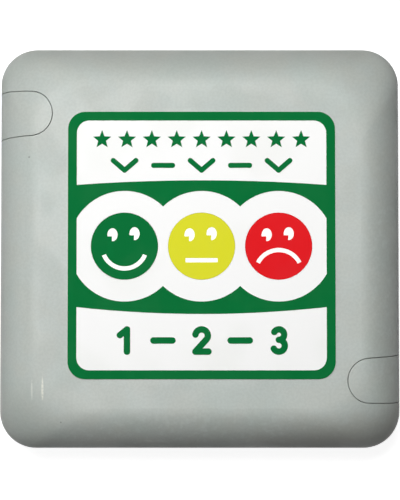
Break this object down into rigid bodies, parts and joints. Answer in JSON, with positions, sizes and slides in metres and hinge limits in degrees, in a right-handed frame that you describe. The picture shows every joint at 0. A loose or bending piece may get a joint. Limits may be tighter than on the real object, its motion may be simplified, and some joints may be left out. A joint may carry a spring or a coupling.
{
  "type": "customer feedback button terminal",
  "caption": "Square grey battery box with a printed label and round keys showing a happy, a neutral and a sad face, for rating a service at a counter or on a wall.",
  "frame": {"origin": "under the middle of the case, at the level of the undersides of the rubber feet, with the terminal lying on its back", "axes": "+Z out of the front, +Y towards the top of the label, +X to the label's right"},
  "size_m": [0.15, 0.15, 0.0399],
  "materials": {
    "case_plastic": "fine moulded ABS, light grey, satin",
    "white_film": "polyester film, satin white",
    "green_ink": "screen printed green ink",
    "yellow_ink": "screen printed yellow ink",
    "red_ink": "screen printed red ink",
    "key_plastic": "moulded ABS, white",
    "zinc_steel": "zinc plated steel",
    "tin_can": "tin or nickel plated sheet",
    "circuit_board": "glass fibre laminate with green solder resist",
    "black_plastic": "black moulded plastic",
    "connector_plastic": "natural nylon",
    "brass_wire": "bare copper alloy wire",
    "capacitor_can": "sleeved aluminium can",
    "red_insulation": "PVC insulation",
    "black_insulation": "PVC insulation",
    "foam_tape": "double sided foam tape",
    "battery_sleeve": "printed cell sleeve",
    "black_rubber": "moulded rubber"
  },
  "bodies": {
    "case": {"battery_cell_1": "battery_sleeve", "battery_cell_2": "battery_sleeve", "battery_holder": "black_plastic", "battery_lead_black": "black_insulation", "battery_lead_red": "red_insulation", "battery_plug": "connector_plastic", "battery_socket": "connector_plastic", "board_screws": "zinc_steel", "buffer_capacitor": "capacitor_can", "case_screws": "zinc_steel", "contact_bridge": "tin_can", "contact_plate_negative": "tin_can", "contact_plate_positive": "tin_can", "controller_chip": "black_plastic", "front_cover": "case_plastic", "happy_snap_dome": "tin_can", "happy_switch_housing": "black_plastic", "happy_switch_pins": "tin_can", "holder_tape": "foam_tape", "main_board": "circuit_board", "neutral_snap_dome": "tin_can", "neutral_switch_housing": "black_plastic", "neutral_switch_pins": "tin_can", "overlay_film": "white_film", "overlay_green_print": "green_ink", "programming_header": "black_plastic", "radio_antenna": "brass_wire", "radio_module": "tin_can", "rear_base": "case_plastic", "rubber_foot_lower_left": "black_rubber", "rubber_foot_lower_right": "black_rubber", "rubber_foot_upper_left": "black_rubber", "rubber_foot_upper_right": "black_rubber", "sad_snap_dome": "tin_can", "sad_switch_housing": "black_plastic", "sad_switch_pins": "tin_can", "sounder": "black_plastic"},
    "happy_button": {"happy_key": "key_plastic", "happy_face_print": "green_ink", "happy_switch_plunger": "key_plastic"},
    "neutral_button": {"neutral_key": "key_plastic", "neutral_face_print": "yellow_ink", "neutral_switch_plunger": "key_plastic"},
    "sad_button": {"sad_key": "key_plastic", "sad_face_print": "red_ink", "sad_switch_plunger": "key_plastic"},
    "upper_left_flap": {"screw_flap_upper_left": "case_plastic"},
    "lower_right_flap": {"screw_flap_lower_right": "case_plastic"}
  },
  "joints": [
    {"name": "happy_press", "type": "slide", "parent": "case", "child": "happy_button", "axis": [0, 0, -1], "range_m": [0, 0.0005], "stiffness_N_per_m": 400, "springref_m": -0.002, "deforming": ["happy_snap_dome"]},
    {"name": "neutral_press", "type": "slide", "parent": "case", "child": "neutral_button", "axis": [0, 0, -1], "range_m": [0, 0.0005], "stiffness_N_per_m": 400, "springref_m": -0.002, "deforming": ["neutral_snap_dome"]},
    {"name": "sad_press", "type": "slide", "parent": "case", "child": "sad_button", "axis": [0, 0, -1], "range_m": [0, 0.0005], "stiffness_N_per_m": 400, "springref_m": -0.002, "deforming": ["sad_snap_dome"]},
    {"name": "upper_left_flap_lift", "type": "slide", "parent": "case", "child": "upper_left_flap", "axis": [0, 0, 1], "range_m": [0, 0.026]},
    {"name": "lower_right_flap_lift", "type": "slide", "parent": "case", "child": "lower_right_flap", "axis": [0, 0, 1], "range_m": [0, 0.026]}
  ]
}
